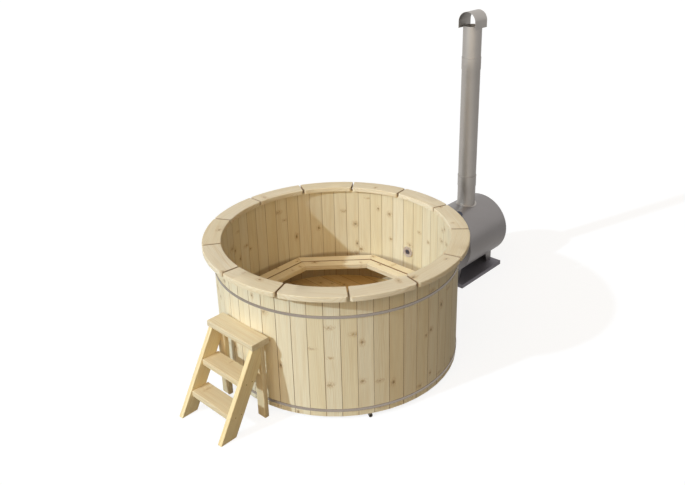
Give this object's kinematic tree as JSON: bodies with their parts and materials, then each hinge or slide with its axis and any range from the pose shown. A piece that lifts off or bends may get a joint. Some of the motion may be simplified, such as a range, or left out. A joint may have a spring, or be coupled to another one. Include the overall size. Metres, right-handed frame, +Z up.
{
  "type": "wooden hot tub",
  "caption": "Round staved wooden tub with a plank rim, an octagonal bench and steel bands, beside a wood-fired heater with a tall chimney, and a step ladder.",
  "frame": {"origin": "on the ground under the middle of the tub, at the underside of the middle floor bearer", "axes": "+X from the tub to the heater, -X to the ladder, +Y across, +Z up"},
  "size_m": [3.379, 1.9497, 2.364],
  "materials": {
    "wall_staves": "planed spruce, untreated",
    "rim_wood": "planed spruce, untreated",
    "bench_wood": "planed spruce, untreated",
    "frame_wood": "planed spruce, untreated",
    "floor_wood": "planed spruce, untreated",
    "ladder_wood": "planed spruce, untreated",
    "tread_wood": "planed spruce, untreated",
    "band_steel": "rolled stainless strap",
    "fastener_steel": "bright stainless",
    "fitting_steel": "turned stainless",
    "gasket_rubber": "moulded, matt",
    "drain_plastic": "extruded pipe, matt",
    "pipe_steel": "drawn stainless tube",
    "heater_steel": "rolled satin stainless sheet",
    "fire_steel": "hot rolled steel, sooted",
    "grate_iron": "as cast",
    "door_steel": "satin stainless sheet",
    "seal_fibre": "braided glass-fibre rope",
    "vent_plastic": "moulded, satin",
    "base_steel": "powder coated, satin",
    "chimney_steel": "rolled satin stainless pipe"
  },
  "bodies": {
    "tub": {"staves": "wall_staves", "ported_stave": "wall_staves", "rim_board_01": "rim_wood", "rim_board_02": "rim_wood", "rim_board_03": "rim_wood", "rim_board_04": "rim_wood", "rim_board_05": "rim_wood", "rim_board_06": "rim_wood", "rim_board_07": "rim_wood", "rim_board_08": "rim_wood", "rim_board_09": "rim_wood", "rim_board_10": "rim_wood", "rim_board_11": "rim_wood", "rim_board_12": "rim_wood", "rim_board_13": "rim_wood", "bands": "band_steel", "band_bolts": "fastener_steel", "floor_boards": "floor_wood", "bearers": "frame_wood", "bench_outer_planks": "bench_wood", "bench_inner_planks": "bench_wood", "bench_brackets": "frame_wood", "port_fittings": "fitting_steel", "port_gaskets": "gasket_rubber", "port_nuts": "fitting_steel", "water_pipes": "pipe_steel", "pipe_sleeves": "gasket_rubber", "sleeve_clamps": "fastener_steel", "drain_fitting": "fitting_steel", "drain_nut": "fitting_steel", "drain_pipe": "drain_plastic", "heater_shell": "heater_steel", "near_end_plate": "heater_steel", "far_end_plate": "heater_steel", "door_frame": "heater_steel", "latch_keeper": "heater_steel", "firebox": "fire_steel", "flue_throat": "fire_steel", "grate": "grate_iron", "hinge_pins": "fastener_steel", "air_vent": "vent_plastic", "heater_feet": "heater_steel", "heater_base": "base_steel", "lower_flue": "chimney_steel", "flue_flange": "chimney_steel", "middle_flue": "chimney_steel", "upper_flue": "chimney_steel", "cowl": "chimney_steel"},
    "door": {"fire_door": "door_steel", "door_seal": "seal_fibre"},
    "latch": {"door_latch": "door_steel"},
    "damper": {"air_damper": "door_steel"},
    "plug": {"drain_plug": "gasket_rubber"},
    "ladder": {"left_stringer": "ladder_wood", "right_stringer": "ladder_wood", "top_tread": "tread_wood", "middle_tread": "tread_wood", "lower_tread": "tread_wood", "rear_legs": "ladder_wood", "ladder_screws": "fastener_steel"}
  },
  "joints": [
    {"name": "door_hinge", "type": "hinge", "parent": "tub", "child": "door", "pos_m": [1.9763, 0.182, 0.378], "axis": [0, 0, 1], "range_deg": [0, 110]},
    {"name": "latch_turn", "type": "hinge", "parent": "door", "child": "latch", "pos_m": [1.9766, -0.13, 0.378], "axis": [1, 0, 0], "range_deg": [0, 90]},
    {"name": "damper_turn", "type": "hinge", "parent": "door", "child": "damper", "pos_m": [1.9763, 0, 0.323], "axis": [1, 0, 0], "range_deg": [0, 45]},
    {"name": "plug_lift", "type": "slide", "parent": "tub", "child": "plug", "axis": [0, 0, 1], "range_m": [0, 0.06]},
    {"name": "ladder_slide", "type": "slide", "parent": "tub", "child": "ladder", "axis": [-1, 0, 0], "range_m": [0, 0.4]}
  ]
}
